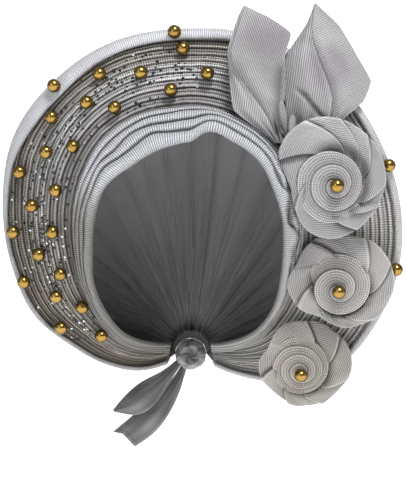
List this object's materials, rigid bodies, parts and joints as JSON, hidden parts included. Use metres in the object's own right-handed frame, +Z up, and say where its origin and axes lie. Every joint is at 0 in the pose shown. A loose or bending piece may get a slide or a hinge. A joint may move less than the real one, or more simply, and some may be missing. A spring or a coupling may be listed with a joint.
{
  "type": "tied gele head tie",
  "caption": "Ready-tied gele head tie: a pleated fan round a face band, with rosettes, two upright leaves, gold beads and a knotted nape.",
  "frame": {"origin": "centre of the wearer's head at brow height, where the wrap sits", "axes": "+Z up to the crown, -Y out of the face, +X to the wearer's left, where the rosettes are"},
  "size_m": [0.2816, 0.1891, 0.3216],
  "materials": {
    "face_band": "corded silver-grey cloth with a soft sheen",
    "pleated_fan": "corded silver-grey cloth with a soft sheen",
    "back_drape": "corded silver-grey cloth with a soft sheen",
    "nape_knot": "corded silver-grey cloth with a soft sheen",
    "tail_upper": "corded silver-grey cloth with a soft sheen",
    "tail_lower": "corded silver-grey cloth with a soft sheen",
    "leaf_left": "corded silver-grey cloth with a soft sheen",
    "leaf_right": "corded silver-grey cloth with a soft sheen",
    "rosette_top": "corded silver-grey cloth with a soft sheen",
    "rosette_middle": "corded silver-grey cloth with a soft sheen",
    "rosette_bottom": "corded silver-grey cloth with a soft sheen",
    "gold_bead": "polished gold plating"
  },
  "bodies": {
    "root": {"face_band": "face_band", "pleated_fan": "pleated_fan", "back_drape": "back_drape", "nape_knot": "nape_knot", "tail_upper": "tail_upper", "tail_lower": "tail_lower", "leaf_left": "leaf_left", "leaf_right": "leaf_right", "rosette_top": "rosette_top", "rosette_middle": "rosette_middle", "rosette_bottom": "rosette_bottom", "bead_inner_1": "gold_bead", "bead_inner_2": "gold_bead", "bead_inner_3": "gold_bead", "bead_inner_4": "gold_bead", "bead_inner_5": "gold_bead", "bead_inner_6": "gold_bead", "bead_inner_7": "gold_bead", "bead_inner_8": "gold_bead", "bead_middle_1": "gold_bead", "bead_middle_2": "gold_bead", "bead_middle_3": "gold_bead", "bead_middle_4": "gold_bead", "bead_middle_5": "gold_bead", "bead_middle_6": "gold_bead", "bead_middle_7": "gold_bead", "bead_outer_1": "gold_bead", "bead_outer_2": "gold_bead", "bead_outer_3": "gold_bead", "bead_outer_4": "gold_bead", "bead_outer_5": "gold_bead", "bead_outer_6": "gold_bead", "bead_outer_7": "gold_bead", "bead_rim_1": "gold_bead", "bead_rim_2": "gold_bead", "bead_rim_3": "gold_bead", "bead_rim_4": "gold_bead", "bead_rosette_top": "gold_bead", "bead_rosette_middle": "gold_bead", "bead_rosette_bottom": "gold_bead"}
  },
  "joints": []
}
